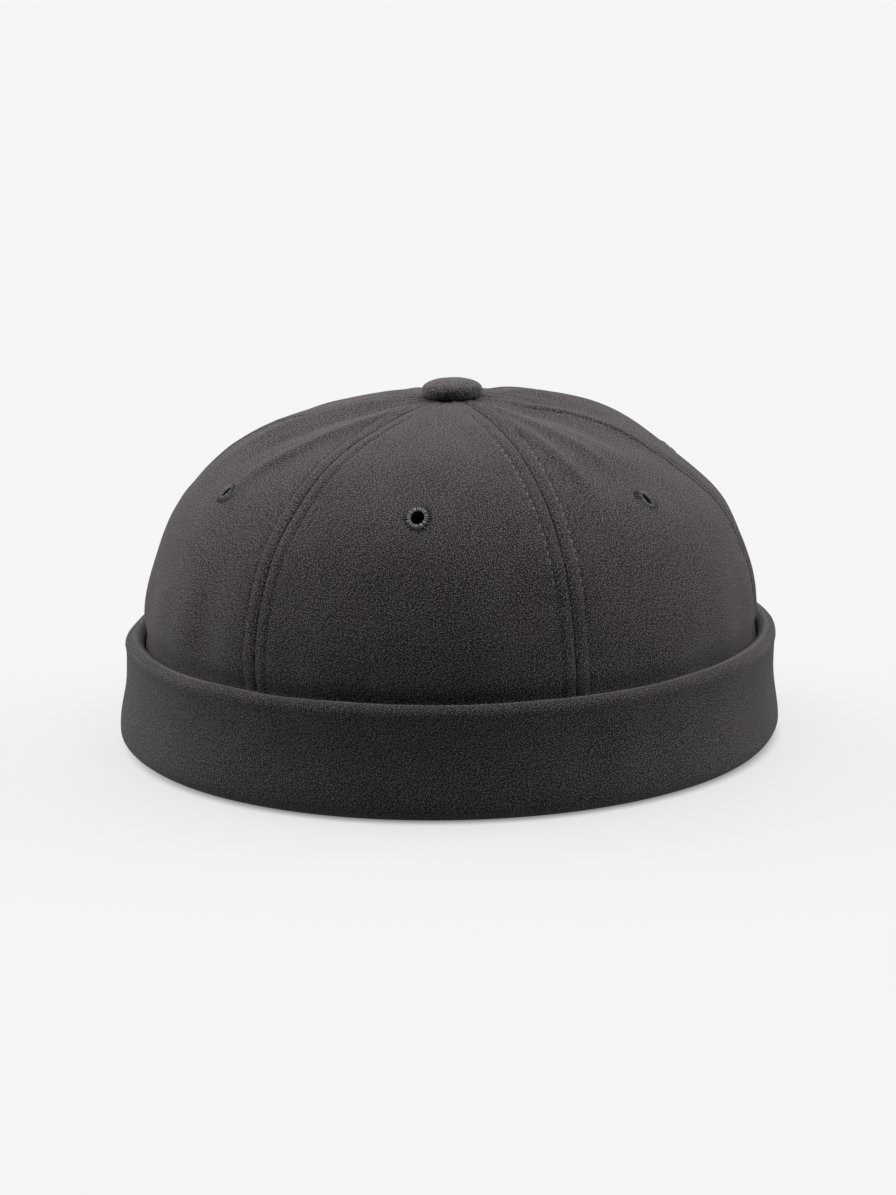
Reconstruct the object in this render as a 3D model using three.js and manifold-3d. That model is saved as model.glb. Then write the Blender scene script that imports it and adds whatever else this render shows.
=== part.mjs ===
// Docker cap: a brimless crown of six panels with a covered button and a deep rolled cuff.
// Millimetres, +Z up. The front panel faces -Y and the origin is on the floor under the middle.

import * as THREE from 'three';
import { mergeVertices } from 'three/addons/utils/BufferGeometryUtils.js';
import Module from 'manifold-3d';

const wasm = await Module();
wasm.setup();

// Fit and cloth
const HEAD_GIRTH = 580; // inside, round the hem
const PANEL_CLOTH = 1.6;
const CUFF_CLOTH = 1.8;
const GAP = 0.3; // between pieces that touch

// Crown
const CROWN_HEIGHT = 105.6; // floor to the cloth under the button
const PANEL_TIP = 1.5; // radius at which the panels end under the button
const PANEL_BULGE = 1.2; // how far a panel's middle stands out from its seams
const CROWN_EASE = 14.0; // height over which the crown swells to its full form above the cuff
const BUTTON_EASE = 16.0; // distance over which it does so beside the button
const FOLD_DEPTH = 2.4; // of the deepest soft fold in the crown
const TOP_LEAN = 1.8; // how far the button sits to the right of the hem's middle

// Cuff, whose reaches are measured outward from the crown's cloth
const CUFF_HEIGHT = 34.2;
const CUFF_FOOT = 2.9; // width of the flat ring that the cap stands on
const CUFF_ROLL_REACH = 7.0;
const CUFF_ROLL_HEIGHT = 5.0; // floor to the widest ring of the lower roll
const CUFF_TOP_REACH = 5.8;
const CUFF_FOLD_FLARE = 20; // degrees by which the top fold leans out past the leaf
const CUFF_WAIST_REACH = 5.3;
const CUFF_WAIST_HEIGHT = 22.0;
const CUFF_SLACK = 6.0; // length over which the lower roll eases into the leaf
const CUFF_TURN_IN = 20.0; // depth of the leaf that is turned in beside the crown
const CUFF_SWELL = 1.4; // of the fullest stretch of the lower roll

// Button
const BUTTON_DIAMETER = 18.4;
const BUTTON_HEIGHT = 5.0; // above the crown's top
const BUTTON_SIDE = 1.9; // from its lower edge up to its widest ring
const BUTTON_EDGE = 1.2; // rounding under its side
const BUTTON_SHOULDER = 2.2; // height over which its side rounds into the top
const BUTTON_FLAT = 5.0; // radius over which its top is nearly flat

// Eyelets
const EYELET_DIAMETER = 9.0;
const EYELET_HOLE = 4.0;
const EYELET_DROP = 77.5; // along the cloth, from the crown's top to the eyelet's centre
const EYELET_RISE = 0.5; // thread above the cloth

// Steps of the faceted surfaces, the last three for each curve of an outline
const STEPS_ACROSS_PANEL = 12;
const STEPS_UP_PANEL = 16;
const STEPS_ROUND_BUTTON = 24;
const STEPS_ROUND_EYELET = 16;
const STEPS_OUTSIDE = 2; // of the cuff's outer face and of an eyelet
const STEPS_INSIDE = 1; // of the cuff's inner face
const STEPS_BUTTON = 5;
const SEAT_STEP = 0.0002; // share of the meridian, in the search for the button's seat

// Panels in order round the cap, from the front to the right. The eyelet's side is a share of the
// panel's half width, positive to the right as seen from outside, and its drop a share of
// EYELET_DROP.
const PANELS = [
  { name: 'front', side: 0.0, drop: 0.995 },
  { name: 'front_right', side: -0.08, drop: 1.013 },
  { name: 'back_right', side: 0.0, drop: 1.0 },
  { name: 'back', side: 0.0, drop: 1.0 },
  { name: 'back_left', side: 0.0, drop: 1.0 },
  { name: 'front_left', side: 0.15, drop: 0.998 },
];

// Meridian of the crown along a seam. Height is a share of the rise from hem to top, radius a
// share of the hem's radius and bulge a share of PANEL_BULGE.
const CROWN_SECTIONS = [
  { height: 0.0, radius: 1.0, bulge: 0.5 },
  { height: 0.17, radius: 0.998, bulge: 0.5 },
  { height: 0.336, radius: 0.998, bulge: 0.5 },
  { height: 0.497, radius: 0.973, bulge: 0.4 },
  { height: 0.649, radius: 0.908, bulge: 0.2 },
  { height: 0.75, radius: 0.823, bulge: 0.0 },
  { height: 0.832, radius: 0.717, bulge: -0.3 },
  { height: 0.903, radius: 0.579, bulge: -0.3 },
  { height: 0.9555, radius: 0.388, bulge: 0.0 },
  { height: 0.988, radius: 0.175, bulge: 0.3 },
];

// Soft folds of the crown. Azimuth in degrees from the front panel's middle, positive to the
// right. Height and extent are shares of the crown's height, width a share of a panel's width
// at the hem, and depth a share of FOLD_DEPTH, positive outward.
const CROWN_FOLDS = [
  { azimuth: 90, height: 0.86, width: 0.45, extent: 0.16, depth: -1.0 },
  { azimuth: -90, height: 0.52, width: 0.35, extent: 0.14, depth: -0.3 },
  { azimuth: 122, height: 0.94, width: 0.4, extent: 0.1, depth: 0.75 },
  { azimuth: -82, height: 0.84, width: 0.45, extent: 0.14, depth: 0.6 },
  { azimuth: -150, height: 0.96, width: 0.5, extent: 0.1, depth: 0.3 },
  { azimuth: -36, height: 0.3, width: 0.1, extent: 0.22, depth: 0.3 },
  { azimuth: -43, height: 0.34, width: 0.07, extent: 0.2, depth: -0.35 },
  { azimuth: -50, height: 0.32, width: 0.08, extent: 0.2, depth: 0.3 },
  { azimuth: -72, height: 0.36, width: 0.1, extent: 0.2, depth: -0.4 },
  { azimuth: -82, height: 0.34, width: 0.09, extent: 0.22, depth: 0.3 },
  { azimuth: -20, height: 0.36, width: 0.08, extent: 0.16, depth: -0.2 },
  { azimuth: 22, height: 0.34, width: 0.09, extent: 0.18, depth: -0.2 },
  { azimuth: 42, height: 0.35, width: 0.09, extent: 0.2, depth: -0.3 },
  { azimuth: 74, height: 0.36, width: 0.1, extent: 0.2, depth: -0.35 },
  { azimuth: 118, height: 0.35, width: 0.12, extent: 0.2, depth: -0.35 },
  { azimuth: -128, height: 0.35, width: 0.12, extent: 0.2, depth: -0.35 },
  { azimuth: 176, height: 0.34, width: 0.12, extent: 0.2, depth: -0.3 },
];

// Full and slack stretches of the cuff's lower roll. Azimuth and span are in degrees, and depth
// is a share of CUFF_SWELL, positive outward.
const CUFF_STRETCHES = [
  { azimuth: -78, span: 20, depth: 1.0 },
  { azimuth: -40, span: 16, depth: 0.25 },
  { azimuth: 30, span: 14, depth: 0.2 },
  { azimuth: 80, span: 18, depth: -0.5 },
  { azimuth: 150, span: 20, depth: 0.4 },
];

// Values that follow from the sizes above
const INNER_RADIUS = HEAD_GIRTH / (2 * Math.PI);
const HEM_RADIUS = INNER_RADIUS + PANEL_CLOTH;
const HEM_HEIGHT = CUFF_CLOTH + GAP;
const CROWN_RISE = CROWN_HEIGHT - HEM_HEIGHT;
const FOLD_RADIUS = (CUFF_TOP_REACH - GAP) / 2;
const FOLD_HEIGHT = CUFF_HEIGHT - FOLD_RADIUS;
const FOOT_EDGE = INNER_RADIUS + CUFF_FOOT;
const WIDEST_RADIUS = HEM_RADIUS + CUFF_ROLL_REACH;
const STEPS_ROUND_CUFF = STEPS_ACROSS_PANEL * PANELS.length;
const HALF_PANEL = Math.PI / PANELS.length;
const PANEL_WIDTH = 2 * HALF_PANEL * HEM_RADIUS;

const CLOTH_COLOUR = 0x3f3c3e;
const CUFF_COLOUR = 0x3b383a;
const THREAD_COLOUR = 0x454954;
const clothMaterial = new THREE.MeshStandardMaterial({
  color: CLOTH_COLOUR, roughness: 0.95, metalness: 0,
});
const cuffMaterial = new THREE.MeshStandardMaterial({
  color: CUFF_COLOUR, roughness: 0.95, metalness: 0,
});
const threadMaterial = new THREE.MeshStandardMaterial({
  color: THREAD_COLOUR, roughness: 0.7, metalness: 0,
});

const cap = new THREE.Group();
cap.name = 'docker_cap';

// Meridian curve in x (radius) and y (height), with the bulge carried in z
const meridian = new THREE.CatmullRomCurve3(
  [
    ...CROWN_SECTIONS.map((row) => new THREE.Vector3(
      HEM_RADIUS * row.radius,
      HEM_HEIGHT + CROWN_RISE * row.height,
      PANEL_BULGE * row.bulge,
    )),
    new THREE.Vector3(PANEL_TIP, CROWN_HEIGHT, 0),
  ],
  false,
  'centripetal',
);

// Angle from one azimuth to another, the short way round, in radians
function turnBetween(azimuth, degrees) {
  const turn = azimuth - THREE.MathUtils.degToRad(degrees);
  return Math.atan2(Math.sin(turn), Math.cos(turn));
}

// How far the crown stands out from its plain meridian. The cuff and the button hold it there,
// so its bulges and folds begin at the cuff's top fold and end at the button.
function crownSwell(azimuth, across, bulge, radius, height) {
  let sum = bulge * (1 - across * across);
  for (const fold of CROWN_FOLDS) {
    const sideways = (turnBetween(azimuth, fold.azimuth) * HEM_RADIUS) / (fold.width * PANEL_WIDTH);
    const upward = (height / CROWN_HEIGHT - fold.height) / fold.extent;
    sum += FOLD_DEPTH * fold.depth * Math.exp(-sideways * sideways - upward * upward);
  }
  const aboveCuff = THREE.MathUtils.smoothstep(height, FOLD_HEIGHT, CUFF_HEIGHT + CROWN_EASE);
  const buttonRadius = BUTTON_DIAMETER / 2;
  const besideButton = THREE.MathUtils.smoothstep(radius, buttonRadius, buttonRadius + BUTTON_EASE);
  return sum * aboveCuff * besideButton;
}

// Point of a panel. Across runs from -1 at its left seam to 1 at its right seam, along from 0 at
// the hem to 1 at the tip, and inset is the depth below the outer face.
function panelPoint(middle, across, along, inset) {
  const point = meridian.getPointAt(along);
  const tangent = meridian.getTangentAt(along);
  const normal = new THREE.Vector2(tangent.y, -tangent.x).normalize();
  const azimuth = middle + across * HALF_PANEL;
  const out = crownSwell(azimuth, across, point.z, point.x, point.y) - inset;
  const radius = point.x + normal.x * out;
  const height = point.y + normal.y * out;
  const turn = middle + across * (HALF_PANEL - Math.asin(GAP / 2 / radius));
  const lean = TOP_LEAN * ((height - HEM_HEIGHT) / CROWN_RISE) ** 3;
  return new THREE.Vector3(radius * Math.sin(turn) + lean, -radius * Math.cos(turn), height);
}

// Closed shell between an outer and an inner grid of points, both as rows from hem to tip
function shellGeometry(outer, inner) {
  const rows = outer.length;
  const columns = outer[0].length;
  const points = [...outer.flat(), ...inner.flat()];
  const first = rows * columns;
  const index = [];
  const quad = (a, b, c, d) => index.push(a, b, c, a, c, d);
  const at = (side, row, column) => side * first + row * columns + column;
  for (let row = 0; row + 1 < rows; row += 1) {
    for (let column = 0; column + 1 < columns; column += 1) {
      quad(at(0, row, column), at(0, row, column + 1), at(0, row + 1, column + 1), at(0, row + 1, column));
      quad(at(1, row, column), at(1, row + 1, column), at(1, row + 1, column + 1), at(1, row, column + 1));
    }
    const last = columns - 1;
    quad(at(0, row, 0), at(0, row + 1, 0), at(1, row + 1, 0), at(1, row, 0));
    quad(at(0, row, last), at(1, row, last), at(1, row + 1, last), at(0, row + 1, last));
  }
  for (let column = 0; column + 1 < columns; column += 1) {
    const last = rows - 1;
    quad(at(0, 0, column), at(1, 0, column), at(1, 0, column + 1), at(0, 0, column + 1));
    quad(at(0, last, column), at(0, last, column + 1), at(1, last, column + 1), at(1, last, column));
  }
  const geometry = new THREE.BufferGeometry();
  geometry.setAttribute('position', new THREE.Float32BufferAttribute(points.flatMap((p) => p.toArray()), 3));
  geometry.setIndex(index);
  return geometry;
}

// Ring or disc turned about +Z from a closed outline of radius and height
function turnedGeometry(outline, steps) {
  const geometry = new THREE.LatheGeometry(outline, steps);
  geometry.rotateX(Math.PI / 2);
  return geometry;
}

function solidOf(geometry) {
  const plain = geometry.clone();
  plain.deleteAttribute('normal');
  plain.deleteAttribute('uv');
  const merged = mergeVertices(plain);
  return new wasm.Manifold(new wasm.Mesh({
    numProp: 3,
    vertProperties: new Float32Array(merged.attributes.position.array),
    triVerts: new Uint32Array(merged.index.array),
  }));
}

function geometryOf(solid) {
  const mesh = solid.getMesh();
  const geometry = new THREE.BufferGeometry();
  geometry.setAttribute('position', new THREE.BufferAttribute(mesh.vertProperties, 3));
  geometry.setIndex(new THREE.BufferAttribute(mesh.triVerts, 1));
  return geometry;
}

function addMesh(name, geometry, material) {
  geometry.computeVertexNormals();
  const mesh = new THREE.Mesh(geometry, material);
  mesh.name = name;
  cap.add(mesh);
  return mesh;
}

// Seat of an eyelet: its centre on the cloth and the turn from +Z to the cloth's normal
function eyeletSeat(middle, across, drop) {
  const along = 1 - (EYELET_DROP * drop) / meridian.getLength();
  const reach = EYELET_DIAMETER / 2 / meridian.getLength();
  const side = EYELET_DIAMETER / PANEL_WIDTH;
  const centre = panelPoint(middle, across, along, 0);
  const up = panelPoint(middle, across, along + reach, 0).sub(panelPoint(middle, across, along - reach, 0));
  const right = panelPoint(middle, across + side, along, 0).sub(panelPoint(middle, across - side, along, 0));
  const normal = right.cross(up).normalize();
  const turn = new THREE.Quaternion().setFromUnitVectors(new THREE.Vector3(0, 0, 1), normal);
  return { centre, turn };
}

// Crown panels, each with the hole for its eyelet
function buildPanel(middle, seat) {
  const grid = (inset) => Array.from({ length: STEPS_UP_PANEL + 1 }, (_, row) => (
    Array.from({ length: STEPS_ACROSS_PANEL + 1 }, (_unused, column) => panelPoint(
      middle,
      (2 * column) / STEPS_ACROSS_PANEL - 1,
      row / STEPS_UP_PANEL,
      inset,
    ))
  ));
  const holeRadius = EYELET_DIAMETER / 2 + GAP;
  const holeDepth = 2 * (2 * PANEL_CLOTH + EYELET_RISE); // past both faces of the curved cloth
  const hole = new THREE.CylinderGeometry(holeRadius, holeRadius, holeDepth, STEPS_ROUND_EYELET);
  hole.rotateX(Math.PI / 2);
  hole.applyQuaternion(seat.turn);
  hole.translate(seat.centre.x, seat.centre.y, seat.centre.z);
  return geometryOf(solidOf(shellGeometry(grid(0), grid(PANEL_CLOTH))).subtract(solidOf(hole)));
}

// Stitched eyelet: a low ring of thread through the cloth, rounded over its outer edge
function eyeletOutline() {
  const outer = EYELET_DIAMETER / 2;
  const inner = EYELET_HOLE / 2;
  const crest = (outer + inner) / 2;
  const outline = new THREE.Path();
  outline.moveTo(outer, -PANEL_CLOTH);
  outline.lineTo(outer, 0);
  outline.quadraticCurveTo(outer, EYELET_RISE, crest, EYELET_RISE);
  outline.quadraticCurveTo(inner, EYELET_RISE, inner, 0);
  outline.lineTo(inner, -PANEL_CLOTH);
  outline.lineTo(outer, -PANEL_CLOTH);
  return outline.getPoints(STEPS_OUTSIDE);
}

// One face of the cuff's cloth, from the foot round the lower roll, up the outer leaf, over the
// top fold and down the leaf that is turned in. Inset is the depth below the outer face.
function cuffFace(inset, steps) {
  const waist = HEM_RADIUS + CUFF_WAIST_REACH - inset;
  const foldMiddle = HEM_RADIUS + GAP + FOLD_RADIUS;
  const flare = THREE.MathUtils.degToRad(CUFF_FOLD_FLARE);
  const radius = FOLD_RADIUS - inset;
  const foldStart = new THREE.Vector2(
    foldMiddle + radius * Math.cos(flare),
    FOLD_HEIGHT - radius * Math.sin(flare),
  );
  const face = new THREE.Path();
  face.moveTo(INNER_RADIUS, inset);
  face.lineTo(FOOT_EDGE, inset);
  face.absellipse(
    FOOT_EDGE, CUFF_ROLL_HEIGHT, WIDEST_RADIUS - FOOT_EDGE - inset, CUFF_ROLL_HEIGHT - inset,
    -Math.PI / 2, 0, false, 0,
  );
  face.bezierCurveTo(
    WIDEST_RADIUS - inset, CUFF_ROLL_HEIGHT + CUFF_SLACK,
    waist, CUFF_WAIST_HEIGHT - CUFF_SLACK,
    waist, CUFF_WAIST_HEIGHT,
  );
  face.quadraticCurveTo(
    waist, foldStart.y - (foldStart.x - waist) / Math.tan(flare),
    foldStart.x, foldStart.y,
  );
  face.absarc(foldMiddle, FOLD_HEIGHT, radius, -flare, Math.PI, false);
  face.lineTo(foldMiddle - radius, CUFF_HEIGHT - CUFF_TURN_IN);
  return face.getPoints(steps);
}

// How far the cuff stands out from its plain ring, most at the lower roll and none at its foot
function cuffSwell(azimuth, radius, height) {
  let sum = 0;
  for (const stretch of CUFF_STRETCHES) {
    const sideways = turnBetween(azimuth, stretch.azimuth) / THREE.MathUtils.degToRad(stretch.span);
    sum += CUFF_SWELL * stretch.depth * Math.exp(-sideways * sideways);
  }
  const outward = THREE.MathUtils.smoothstep(radius, FOOT_EDGE, WIDEST_RADIUS);
  return sum * outward * (1 - THREE.MathUtils.smoothstep(height, CUFF_ROLL_HEIGHT, CUFF_HEIGHT));
}

function buildCuff() {
  const outside = cuffFace(0, STEPS_OUTSIDE);
  const inside = cuffFace(CUFF_CLOTH, STEPS_INSIDE).reverse();
  const geometry = turnedGeometry([...outside, ...inside, outside[0]], STEPS_ROUND_CUFF);
  const places = geometry.attributes.position;
  for (let index = 0; index < places.count; index += 1) {
    const [x, y, z] = [places.getX(index), places.getY(index), places.getZ(index)];
    const radius = Math.hypot(x, y);
    const scale = 1 + cuffSwell(Math.atan2(x, -y), radius, z) / radius;
    places.setXYZ(index, x * scale, y * scale, z);
  }
  return geometry;
}

// Height of the crown's cloth at a radius under the button, by going down its meridian from the tip
function crownHeightAt(radius) {
  let along = 1;
  while (meridian.getPointAt(along).x < radius) along -= SEAT_STEP;
  return meridian.getPointAt(along).y;
}

// Covered button, seated just above the cloth that it covers
function buildButton() {
  const radius = BUTTON_DIAMETER / 2;
  const seatTop = CROWN_HEIGHT + GAP;
  const seatEdge = crownHeightAt(radius) + GAP;
  const crest = CROWN_HEIGHT + BUTTON_HEIGHT;
  const outline = new THREE.Path();
  outline.moveTo(0, seatTop);
  outline.lineTo(radius - BUTTON_EDGE, seatEdge);
  outline.quadraticCurveTo(radius, seatEdge, radius, seatEdge + BUTTON_SIDE);
  outline.bezierCurveTo(
    radius, seatEdge + BUTTON_SIDE + BUTTON_SHOULDER,
    BUTTON_FLAT, crest,
    0, crest,
  );
  return turnedGeometry(outline.getPoints(STEPS_BUTTON), STEPS_ROUND_BUTTON);
}

PANELS.forEach((panel, order) => {
  const middle = 2 * HALF_PANEL * order;
  const seat = eyeletSeat(middle, panel.side, panel.drop);
  addMesh(`panel_${panel.name}`, buildPanel(middle, seat), clothMaterial.clone());
  const ring = turnedGeometry(eyeletOutline(), STEPS_ROUND_EYELET);
  const eyelet = addMesh(`eyelet_${panel.name}`, ring, threadMaterial.clone());
  eyelet.position.copy(seat.centre);
  eyelet.quaternion.copy(seat.turn);
});

addMesh('cuff', buildCuff(), cuffMaterial);

const button = addMesh('button', buildButton(), clothMaterial.clone());
button.position.x = TOP_LEAN;

export default cap;
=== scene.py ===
# %% [markdown]
# Docker cap of brushed charcoal cloth
#
# The object is a brimless cap. Six shaped panels are sewn together into a low dome, a covered
# button hides the point where they meet, each panel has one stitched air hole, and a deep band of
# the same cloth is folded and rolled up round the hem. This lesson dresses the plain solids of the
# cap, which come packed as a frame, with finer pieces that lie in the same places.
#
# Everything soft about the cap is a change of a few millimetres: seams that sink, a band of cloth
# that rises beside each seam, stitches that dimple it, and a nap that catches light at the rim. So
# each piece is first made as a plain shape and then pushed in or out by small named amounts.

import math

import bmesh
import bpy
import numpy as np
from mathutils import Matrix, Vector, noise


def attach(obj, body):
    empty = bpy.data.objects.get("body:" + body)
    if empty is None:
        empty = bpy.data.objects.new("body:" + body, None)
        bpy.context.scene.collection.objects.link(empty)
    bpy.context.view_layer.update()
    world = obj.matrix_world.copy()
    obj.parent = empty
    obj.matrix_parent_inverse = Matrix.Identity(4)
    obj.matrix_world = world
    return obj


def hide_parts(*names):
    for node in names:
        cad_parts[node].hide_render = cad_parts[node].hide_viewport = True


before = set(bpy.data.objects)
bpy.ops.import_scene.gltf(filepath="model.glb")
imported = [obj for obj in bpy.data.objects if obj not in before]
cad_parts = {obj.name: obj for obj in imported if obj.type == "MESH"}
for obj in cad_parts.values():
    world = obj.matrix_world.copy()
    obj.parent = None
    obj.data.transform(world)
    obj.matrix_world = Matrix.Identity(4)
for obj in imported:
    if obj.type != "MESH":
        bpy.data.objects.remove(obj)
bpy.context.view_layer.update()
print("nodes in the frame:", len(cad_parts))

# %% [markdown]
# The sizes of the cap
#
# The solids were made from a few driving sizes: the girth of the head, the height of the crown and
# of the cuff, and the thickness of the cloth. The same sizes are named here, in metres, so that a
# fine piece and its solid have the same surface to within a fraction of a millimetre.

# %% Sizes shared with the solids
MM = 0.001
HEAD_GIRTH = 580 * MM
PANEL_CLOTH = 1.6 * MM
CUFF_CLOTH = 1.8 * MM
GAP = 0.3 * MM

CROWN_HEIGHT = 105.6 * MM
PANEL_TIP = 1.5 * MM
PANEL_BULGE = 1.2 * MM
CROWN_EASE = 14 * MM
BUTTON_EASE = 16 * MM
FOLD_DEPTH = 2.4 * MM
TOP_LEAN = 1.8 * MM

CUFF_HEIGHT = 34.2 * MM
CUFF_FOOT = 2.9 * MM
CUFF_ROLL_REACH = 7 * MM
CUFF_ROLL_HEIGHT = 5 * MM
CUFF_TOP_REACH = 5.8 * MM
CUFF_FOLD_FLARE = math.radians(20)
CUFF_WAIST_REACH = 5.3 * MM
CUFF_WAIST_HEIGHT = 22 * MM
CUFF_SLACK = 6 * MM
CUFF_TURN_IN = 20 * MM
CUFF_SWELL = 1.4 * MM

BUTTON_RADIUS = 9.2 * MM
BUTTON_HEIGHT = 5 * MM
BUTTON_SIDE = 1.9 * MM
BUTTON_EDGE = 1.2 * MM
BUTTON_SHOULDER = 2.2 * MM
BUTTON_FLAT = 5 * MM

EYELET_RADIUS = 4.5 * MM
EYELET_HOLE = 2 * MM
EYELET_DROP = 77.5 * MM

SIDES = ["front", "front_right", "back_right", "back", "back_left", "front_left"]
HALF_PANEL = math.pi / len(SIDES)
INNER_RADIUS = HEAD_GIRTH / (2 * math.pi)
HEM_RADIUS = INNER_RADIUS + PANEL_CLOTH
HEM_HEIGHT = CUFF_CLOTH + GAP
CROWN_RISE = CROWN_HEIGHT - HEM_HEIGHT
PANEL_WIDTH = 2 * HALF_PANEL * HEM_RADIUS
FOLD_RADIUS = (CUFF_TOP_REACH - GAP) / 2
FOLD_HEIGHT = CUFF_HEIGHT - FOLD_RADIUS
FOOT_EDGE = INNER_RADIUS + CUFF_FOOT
WIDEST_RADIUS = HEM_RADIUS + CUFF_ROLL_REACH
print("hem radius in mm:", round(HEM_RADIUS / MM, 2))

# %% [markdown]
# The line of a seam
#
# Seen from the side, a seam rises straight from the hem, turns over at the shoulder and runs nearly
# flat to the button. One curve through a dozen stations holds that line. A centripetal curve is
# used, because it passes through each station without loops, and the stations are kept as shares
# of the hem's radius and of the crown's rise, so that the cap can be resized from the top.

# %% The seam's curve
# Share of the rise, share of the hem's radius, share of PANEL_BULGE
CROWN_SECTIONS = [
    (0.0, 1.0, 0.5),
    (0.17, 0.998, 0.5),
    (0.336, 0.998, 0.5),
    (0.497, 0.973, 0.4),
    (0.649, 0.908, 0.2),
    (0.75, 0.823, 0.0),
    (0.832, 0.717, -0.3),
    (0.903, 0.579, -0.3),
    (0.9555, 0.388, 0.0),
    (0.988, 0.175, 0.3),
]
STATIONS = np.array(
    [(HEM_RADIUS * radius, HEM_HEIGHT + CROWN_RISE * rise, PANEL_BULGE * bulge)
     for rise, radius, bulge in CROWN_SECTIONS]
    + [(PANEL_TIP, CROWN_HEIGHT, 0)]
)


def curve_at(shares):
    """Points of the centripetal curve through STATIONS at shares 0 to 1 of its parameter."""
    ends = np.vstack([2 * STATIONS[0] - STATIONS[1], STATIONS, 2 * STATIONS[-1] - STATIONS[-2]])
    knots = np.sqrt(np.linalg.norm(np.diff(ends, axis=0), axis=1))
    spans = len(STATIONS) - 1
    span = np.clip(np.floor(shares * spans).astype(int), 0, spans - 1)
    t = (shares * spans - span)[:, None]
    before, start, end, after = (ends[span + step] for step in range(4))
    gap_before, gap, gap_after = (knots[span + step][:, None] for step in range(3))
    slope_start = (start - before) / gap_before - (end - before) / (gap_before + gap) + (end - start) / gap
    slope_end = (end - start) / gap - (after - start) / (gap + gap_after) + (after - end) / gap_after
    return (
        (2 * t**3 - 3 * t**2 + 1) * start
        + (t**3 - 2 * t**2 + t) * gap * slope_start
        + (3 * t**2 - 2 * t**3) * end
        + (t**3 - t**2) * gap * slope_end
    )


CURVE_SHARES = np.linspace(0, 1, 201)
CURVE_LENGTHS = np.concatenate(
    [[0], np.cumsum(np.linalg.norm(np.diff(curve_at(CURVE_SHARES), axis=0), axis=1))]
)
SEAM_LENGTH = CURVE_LENGTHS[-1]


def seam_at(along):
    """Radius, height and bulge of the seam's line at a share of its length."""
    return curve_at(np.interp(along * SEAM_LENGTH, CURVE_LENGTHS, CURVE_SHARES))


print("length of a seam in mm:", round(SEAM_LENGTH / MM, 1))

# %% [markdown]
# The crown's surface
#
# Between two seams the cloth bulges a little, and it has soft folds where the cap was handled and
# where the cuff grips it. Each fold is a rounded hill or hollow with a place, a width and a depth.
# Hills with smooth sides are added up, so folds that meet blend as cloth does.

# %% Folds of the crown
# Azimuth in degrees, height and extent as shares of the crown, width as a share of a panel, depth
CROWN_FOLDS = [
    (90, 0.86, 0.45, 0.16, -1.0),
    (-90, 0.52, 0.35, 0.14, -0.3),
    (122, 0.94, 0.4, 0.1, 0.75),
    (-82, 0.84, 0.45, 0.14, 0.6),
    (-150, 0.96, 0.5, 0.1, 0.3),
    (-36, 0.3, 0.1, 0.22, 0.3),
    (-43, 0.34, 0.07, 0.2, -0.35),
    (-50, 0.32, 0.08, 0.2, 0.3),
    (-72, 0.36, 0.1, 0.2, -0.4),
    (-82, 0.34, 0.09, 0.22, 0.3),
    (-20, 0.36, 0.08, 0.16, -0.2),
    (22, 0.34, 0.09, 0.18, -0.2),
    (42, 0.35, 0.09, 0.2, -0.3),
    (74, 0.36, 0.1, 0.2, -0.35),
    (118, 0.35, 0.12, 0.2, -0.35),
    (-128, 0.35, 0.12, 0.2, -0.35),
    (176, 0.34, 0.12, 0.2, -0.3),
]


def smooth(value, low, high):
    """0 below low, 1 above high and an eased step between them."""
    share = np.clip((value - low) / (high - low), 0, 1)
    return share * share * (3 - 2 * share)


def turn_between(azimuth, degrees):
    """Angle from a place given in degrees to an azimuth in radians, the short way round."""
    turn = azimuth - np.radians(degrees)
    return np.arctan2(np.sin(turn), np.cos(turn))


def crown_swell(azimuth, across, bulge, radius, height):
    """How far the cloth stands out from the seam's line, in metres."""
    swell = bulge * (1 - across**2)
    for place, middle, width, extent, depth in CROWN_FOLDS:
        sideways = turn_between(azimuth, place) * HEM_RADIUS / (width * PANEL_WIDTH)
        upward = (height / CROWN_HEIGHT - middle) / extent
        swell = swell + FOLD_DEPTH * depth * np.exp(-(sideways**2) - upward**2)
    above_cuff = smooth(height, FOLD_HEIGHT, CUFF_HEIGHT + CROWN_EASE)
    beside_button = smooth(radius, BUTTON_RADIUS, BUTTON_RADIUS + BUTTON_EASE)
    return swell * above_cuff * beside_button


def crown_point(middle, across, along, relief=0.0):
    """Points of the panel whose middle has that azimuth, raised by relief along the normal."""
    radius, height, bulge = seam_at(along).T
    ahead, behind = seam_at(np.minimum(along + 0.001, 1)), seam_at(np.maximum(along - 0.001, 0))
    slope = (ahead - behind)[:, :2]
    slope = slope / np.linalg.norm(slope, axis=1)[:, None]
    azimuth = middle + across * HALF_PANEL
    out = crown_swell(azimuth, across, bulge, radius, height) + relief
    radius = radius + slope[:, 1] * out
    height = height - slope[:, 0] * out
    lean = TOP_LEAN * ((height - HEM_HEIGHT) / CROWN_RISE) ** 3
    return np.column_stack([radius * np.sin(azimuth) + lean, -radius * np.cos(azimuth), height])


print("top of the crown in mm:", np.round(crown_point(0, np.zeros(1), np.ones(1)) / MM, 1))

# %% [markdown]
# Relief of a sewn seam
#
# Two panels are sewn face to face, opened flat and topstitched on both sides. The cloth turns down
# into the seam, puffs up over the hidden allowance, and is pulled in again along the stitches. All
# of it depends on the distance from the seam alone, so one function of that distance serves every
# panel, and a little noise along the seam keeps it from looking machined. Under the button the
# seams are pressed flat, so their relief fades there.

# %% Relief beside a seam
STITCH_LINE = 4.2 * MM
STITCH_PITCH = 3.0 * MM
EDGE_ROLL = 0.45 * MM
EDGE_DEPTH = 0.8 * MM
BAND_RISE = 0.2 * MM
LINE_DIP = 0.28 * MM
LINE_WIDTH = 0.6 * MM
PUCKER = 0.22 * MM
PUCKER_REACH = 5 * MM
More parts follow.
